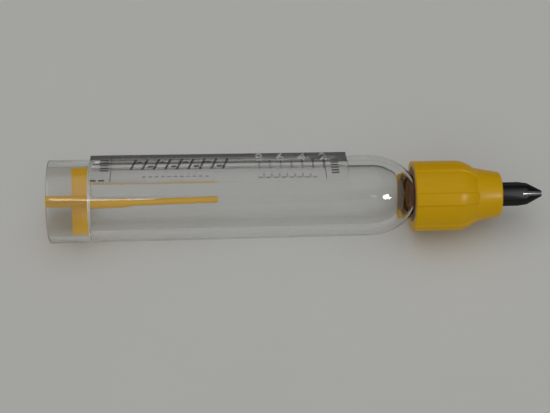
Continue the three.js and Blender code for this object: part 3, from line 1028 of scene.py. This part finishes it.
def bubbles(station):
    """The bubbles in the adhesive's front face, as closed meshes centred on it."""
    base = placed(bpy.data.meshes.new("bubbles"), "bubbles")
    modifier = base.modifiers.new("bubbles", "NODES")
    modifier.node_group = build_bubble_scatter()
    set_input(modifier, "Disc Radius", POCKET_RADIUS - 0.7)
    set_input(modifier, "Spacing", 0.85)
    set_input(modifier, "Bubble Radius", 0.24)
    set_input(modifier, "Seed", 3)
    set_input(modifier, "Material", amber_resin)
    bpy.context.view_layer.update()
    made = plain_mesh(base)
    bpy.data.objects.remove(base)
    upright = Matrix.Rotation(math.radians(90), 4, "Y")
    made.transform(Matrix.Translation((station, 0, 0)) @ upright)
    return made


def resin_plug():
    reach = POCKET_RADIUS + 0.02
    start = pocket_end - 0.02
    outline = [(start, 0), (start, reach), (plug_end - 0.5, reach)]
    outline += [(plug_end - 0.15, reach - 0.25), (plug_end, reach - 0.9), (plug_end - 0.2, 0)]
    made = turned("resin_plug", outline, 96)
    made.materials.append(amber_resin)
    made = carved(made, "DIFFERENCE", bubbles(start))
    return finished(made, "resin_plug", "cup", amber_resin, ["adhesive_plug"])


# ---------------------------------------------------------------- screwdriver bit
def hexagon_outline(across_flats):
    corner = across_flats / math.sqrt(3)
    angles = [math.radians(90 + 60 * side) for side in range(6)]
    return [(corner * math.cos(a), corner * math.sin(a)) for a in angles]


def flute(roll):
    """A long V that cuts one groove of the cross point."""
    height = HEX_ACROSS_FLATS
    half = height * math.tan(math.radians(FLUTE_ANGLE / 2))
    outline = [(-0.14, 0), (0.14, 0), (half, height), (-half, height)]
    made = prism("flute", outline, -FLUTE_LENGTH, FLUTE_LENGTH * 2)
    rise = Matrix.Rotation(math.radians(FLUTE_RISE), 4, "Y")
    spot = Matrix.Translation((bit_tip, 0, CROSS_TIP_RADIUS - FLUTE_DEPTH_AT_TIP))
    made.transform(spot @ rise)
    made.materials.append(flute_steel)
    return rolled(made, roll)


def blade_relief(side):
    """The wedge cut away on one side of the flat blade at the inner end."""
    outline = [
        (-1, BLADE_THICKNESS / 2),
        (BLADE_PARALLEL, BLADE_THICKNESS / 2),
        (BLADE_LENGTH, HEX_ACROSS_FLATS),
        (-1, HEX_ACROSS_FLATS),
    ]
    rings = [[(bit_inner_end + along, across, out * side) for along, out in outline]
             for across in (-HEX_ACROSS_FLATS, HEX_ACROSS_FLATS)]
    edit = bmesh.new()
    near, far = [[edit.verts.new(point) for point in points] for points in rings]
    edit.faces.new(near)
    edit.faces.new(far)
    for corner in range(4):
        after = (corner + 1) % 4
        edit.faces.new((near[corner], near[after], far[after], far[corner]))
    return rolled(mesh_from(edit, "relief"), HEX_ROLL)


def hex_bit():
    corner = HEX_ACROSS_FLATS / math.sqrt(3)
    blank = prism("hex_bit", hexagon_outline(HEX_ACROSS_FLATS), bit_inner_end, bit_tip - bit_inner_end)
    rounded(blank, 0.16, 3)
    rolled(blank, HEX_ROLL)
    outline = [(bit_inner_end - 1, 0), (bit_inner_end - 1, corner + 1)]
    outline += [(bit_tip - CROSS_TAPER - 1, corner + 1), (bit_tip - CROSS_TAPER, corner)]
    outline += corner_points((bit_tip - 0.45, CROSS_TIP_RADIUS - 0.45), 0.45, 63, 0)
    outline += [(bit_tip, 0)]
    envelope = turned("envelope", outline, 96)
    blank.materials.append(bit_black)
    envelope.materials.append(bit_black)
    made = carved(blank, "INTERSECT", envelope)
    cutters = [flute(FLUTE_ROLL + turn) for turn in (0, 90, 180, 270)]
    for side in (1, -1):
        cutters.append(blade_relief(side))
        cutters[-1].materials.append(bit_black)
    made = dropped(carved(made, "DIFFERENCE", *cutters))
    return finished(made, "hex_bit", "bit", bit_black, ["driver_bit"])


clear_cup()
drain_probe()
ribbed_grip()
resin_plug()
hex_bit()

# ---------------------------------------------------------------- floor, lights and camera
FLOOR_SIZE = 3.0


def pale_floor():
    half = FLOOR_SIZE / 2
    mesh = bpy.data.meshes.new("floor")
    corners = [(-half, -half, 0), (half, -half, 0), (half, half, 0), (-half, half, 0)]
    mesh.from_pydata(corners, [], [(0, 1, 2, 3)])
    mesh.materials.append(pale_paper())
    floor = placed(mesh, "floor")


def soft_light(name, size, power, azimuth, elevation, distance, tint):
    """An area light, square unless reshaped, that faces the object from a direction in degrees."""
    lamp = bpy.data.lights.new(name, "AREA")
    lamp.size = size
    lamp.energy = power
    lamp.color = tint
    made = bpy.data.objects.new(name, lamp)
    a, e = math.radians(azimuth), math.radians(elevation)
    back = Vector((math.sin(a) * math.cos(e), -math.cos(a) * math.cos(e), math.sin(e)))
    made.location = back * distance
    made.rotation_euler = back.to_track_quat("Z", "Y").to_euler()
    bpy.context.scene.collection.objects.link(made)
    return made


def room():
    """Surroundings that are light above and in front and dark and warm low down behind."""
    world = bpy.data.worlds.new("room")
    world.use_nodes = True
    tree = world.node_tree
    direction = add_node(tree, "ShaderNodeTexCoord")
    facing = add_node(tree, "ShaderNodeVectorMath", {"operation": "DOT_PRODUCT"})
    facing.inputs[1].default_value = (0.1, -0.55, 0.83)
    share = add_node(tree, "ShaderNodeMapRange", {"interpolation_type": "SMOOTHSTEP"})
    share.inputs["From Min"].default_value = -0.1
    share.inputs["From Max"].default_value = 0.8
    tones = add_node(tree, "ShaderNodeMix", {"data_type": "RGBA"})
    tones.inputs[6].default_value = (0.105, 0.095, 0.082, 1)
    tones.inputs[7].default_value = (0.62, 0.62, 0.62, 1)
    tree.links.new(direction.outputs["Generated"], facing.inputs[0])
    tree.links.new(facing.outputs["Value"], share.inputs["Value"])
    tree.links.new(share.outputs["Result"], tones.inputs[0])
    tree.links.new(tones.outputs[2], tree.nodes["Background"].inputs["Color"])
    bpy.context.scene.world = world


def studio():
    room()
    soft_light("ceiling", 1.6, 3.0, 205, 80, 1.4, (1.0, 0.99, 0.96))
    key = soft_light("key", 0.18, 4.0, 46, 38, 0.9, (1.0, 0.98, 0.95))
    key.visible_diffuse = False
    second = soft_light("second_key", 0.26, 0.30, -21, 57, 1.0, (1.0, 0.99, 0.96))
    second.data.shape = "RECTANGLE"
    second.data.size_y = 0.06
    second.visible_diffuse = False


CAMERA_ELEVATION = 55.0
CAMERA_YAW = 2.9
CAMERA_ROLL = 1.2
CAMERA_DISTANCE = 0.403
CAMERA_LENS = 87.25
AIM_STATION = 67.56  # where the camera looks, from the mouth
AIM_DROP = 0.0028


def add_camera():
    """Looks down on the tube from its near side, a little to the left and turned a little."""
    yaw, elevation, roll = map(math.radians, (CAMERA_YAW, CAMERA_ELEVATION, CAMERA_ROLL))
    ahead = math.cos(yaw) * math.cos(elevation)
    down = math.cos(yaw) * math.sin(elevation)
    forward = Vector((math.sin(yaw), ahead, -down))
    along = Vector((1, 0, 0))
    level_right = (along - forward * along.dot(forward)).normalized()
    level_up = level_right.cross(forward)
    right = level_right * math.cos(roll) - level_up * math.sin(roll)
    up = level_right * math.sin(roll) + level_up * math.cos(roll)
    aim = Vector((mouth_x + AIM_STATION * MM, 0, axis_z))
    place = aim - forward * CAMERA_DISTANCE - up * AIM_DROP
    lens = bpy.data.cameras.new("camera")
    lens.lens = CAMERA_LENS
    lens.sensor_width = 36.0
    made = bpy.data.objects.new("camera", lens)
    made.matrix_world = Matrix.Translation(place) @ Matrix((right, up, -forward)).transposed().to_4x4()
    bpy.context.scene.collection.objects.link(made)
    bpy.context.scene.camera = made


pale_floor()
studio()
add_camera()
bpy.context.scene.view_settings.view_transform = "Standard"
